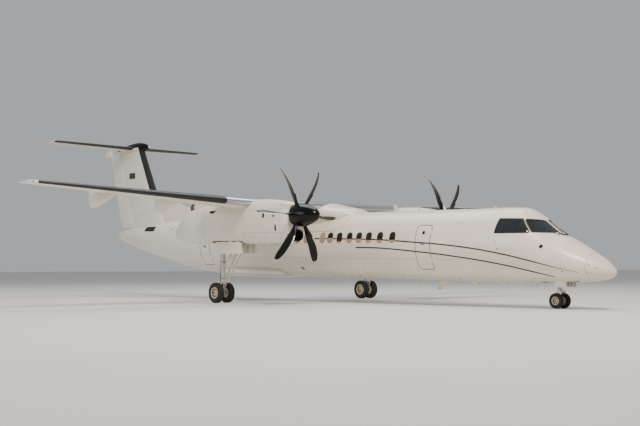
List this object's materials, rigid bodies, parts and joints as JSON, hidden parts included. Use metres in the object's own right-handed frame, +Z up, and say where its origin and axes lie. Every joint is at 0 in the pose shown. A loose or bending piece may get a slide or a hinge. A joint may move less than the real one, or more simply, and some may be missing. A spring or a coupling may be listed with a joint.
{
  "type": "turboprop airliner",
  "caption": "High-wing regional turboprop airliner with a T-tail, six-bladed propellers on wing nacelles and twin-wheel landing gear, parked.",
  "frame": {"origin": "on the ground under the middle of the overall length, on the plane of symmetry", "axes": "+X forward to the nose, +Y to port, +Z up"},
  "size_m": [32.7242, 28.42, 8.3928],
  "materials": {
    "white_paint": "gloss warm white paint",
    "radome_paint": "satin warm white paint over composite",
    "dark_glass": "dark tinted glass",
    "black_boot": "satin black rubber de-icing boot or black paint",
    "blade_composite": "satin black composite",
    "leg_paint": "semi-gloss pale grey paint",
    "heat_steel": "heat-stained bare metal",
    "cast_alloy": "painted cast alloy",
    "tyre_rubber": "worn matt rubber"
  },
  "bodies": {
    "airframe": {"fuselage": "white_paint", "wing_root_fairing": "white_paint", "nacelle_port": "white_paint", "nacelle_starboard": "white_paint", "main_gear_leg_port": "leg_paint", "main_gear_leg_starboard": "leg_paint", "wing_outer_port": "white_paint", "wing_outer_starboard": "white_paint", "flap_outboard_port": "white_paint", "flap_outboard_starboard": "white_paint", "tail_bullet": "white_paint", "radome": "radome_paint", "exhaust_port": "heat_steel", "exhaust_starboard": "heat_steel", "belly_fairing": "white_paint", "fin": "white_paint", "intake_lip_port": "black_boot", "intake_lip_starboard": "black_boot", "tailplane": "white_paint", "baggage_door_forward": "white_paint", "service_door_aft": "white_paint", "passenger_door_aft": "white_paint", "nose_gear_leg": "leg_paint", "windscreen_port": "dark_glass", "windscreen_starboard": "dark_glass", "side_window_port": "dark_glass", "side_window_starboard": "dark_glass", "flap_inboard_port": "white_paint", "flap_inboard_starboard": "white_paint", "wing_centre": "white_paint", "nose_gear_door_port": "white_paint", "nose_gear_door_starboard": "white_paint", "main_gear_door_outer_port": "white_paint", "main_gear_door_inner_port": "white_paint", "main_gear_door_outer_starboard": "white_paint", "main_gear_door_inner_starboard": "white_paint", "engine_port": "cast_alloy", "engine_starboard": "cast_alloy"},
    "propeller_port": {"propeller_port": "blade_composite", "spinner_port": "black_boot"},
    "propeller_starboard": {"propeller_starboard": "blade_composite", "spinner_starboard": "black_boot"},
    "main_wheels_port": {"main_wheels_port": "cast_alloy", "main_tyre_outer_port": "tyre_rubber", "main_tyre_inner_port": "tyre_rubber"},
    "main_wheels_starboard": {"main_wheels_starboard": "cast_alloy", "main_tyre_outer_starboard": "tyre_rubber", "main_tyre_inner_starboard": "tyre_rubber"},
    "nose_wheels": {"nose_wheels": "cast_alloy", "nose_tyre_port": "tyre_rubber", "nose_tyre_starboard": "tyre_rubber"},
    "nose_steering": {"nose_gear_steering": "leg_paint"},
    "airstair": {"airstair_door": "white_paint"},
    "rudder": {"rudder": "white_paint"},
    "aileron_port": {"aileron_port": "white_paint"},
    "aileron_starboard": {"aileron_starboard": "white_paint"},
    "elevator_port": {"elevator_port": "white_paint"},
    "elevator_starboard": {"elevator_starboard": "white_paint"}
  },
  "joints": [
    {"name": "propeller_port_spin", "type": "hinge", "parent": "airframe", "child": "propeller_port", "pos_m": [5.1787, 4.4, 3.54398], "axis": [0.9999, 0, -0.0172], "continuous": true},
    {"name": "propeller_starboard_spin", "type": "hinge", "parent": "airframe", "child": "propeller_starboard", "pos_m": [5.1787, -4.4, 3.54398], "axis": [0.9999, 0, -0.0172], "continuous": true},
    {"name": "main_wheels_port_spin", "type": "hinge", "parent": "airframe", "child": "main_wheels_port", "pos_m": [0.15443, 4.4, 0.43194], "axis": [0, 1, 0], "continuous": true},
    {"name": "main_wheels_starboard_spin", "type": "hinge", "parent": "airframe", "child": "main_wheels_starboard", "pos_m": [0.15443, -4.4, 0.43194], "axis": [0, 1, 0], "continuous": true},
    {"name": "nose_steering_turn", "type": "hinge", "parent": "airframe", "child": "nose_steering", "pos_m": [14.10042, 0, 0.66011], "axis": [0.0172, 0, 0.9999], "range_deg": [-65, 65]},
    {"name": "nose_wheels_spin", "type": "hinge", "parent": "nose_steering", "child": "nose_wheels", "pos_m": [14.09386, 0, 0.27896], "axis": [0, 1, 0], "continuous": true},
    {"name": "airstair_fold", "type": "hinge", "parent": "airframe", "child": "airstair", "pos_m": [11.41364, 1.058, 1.45194], "axis": [-0.9999, 0, 0.0172], "range_deg": [0, 130]},
    {"name": "rudder_turn", "type": "hinge", "parent": "airframe", "child": "rudder", "pos_m": [-13.36424, 0, 3.5329], "axis": [-0.2862, 0, 0.9582], "range_deg": [-18, 18]},
    {"name": "elevator_port_turn", "type": "hinge", "parent": "airframe", "child": "elevator_port", "pos_m": [-14.50479, 2.43, 8.16209], "axis": [0.0003, 0.9999, 0.016], "range_deg": [-20, 20]},
    {"name": "elevator_starboard_turn", "type": "hinge", "parent": "airframe", "child": "elevator_starboard", "pos_m": [-14.50479, -2.43, 8.16209], "axis": [-0.0003, 0.9999, -0.016], "range_deg": [-20, 20]},
    {"name": "aileron_port_turn", "type": "hinge", "parent": "airframe", "child": "aileron_port", "pos_m": [0.8396, 12.34, 4.50423], "axis": [0.0354, 0.9984, 0.043], "range_deg": [-17, 17]},
    {"name": "aileron_starboard_turn", "type": "hinge", "parent": "airframe", "child": "aileron_starboard", "pos_m": [0.8396, -12.34, 4.50423], "axis": [-0.0354, 0.9984, -0.043], "range_deg": [-17, 17]}
  ]
}
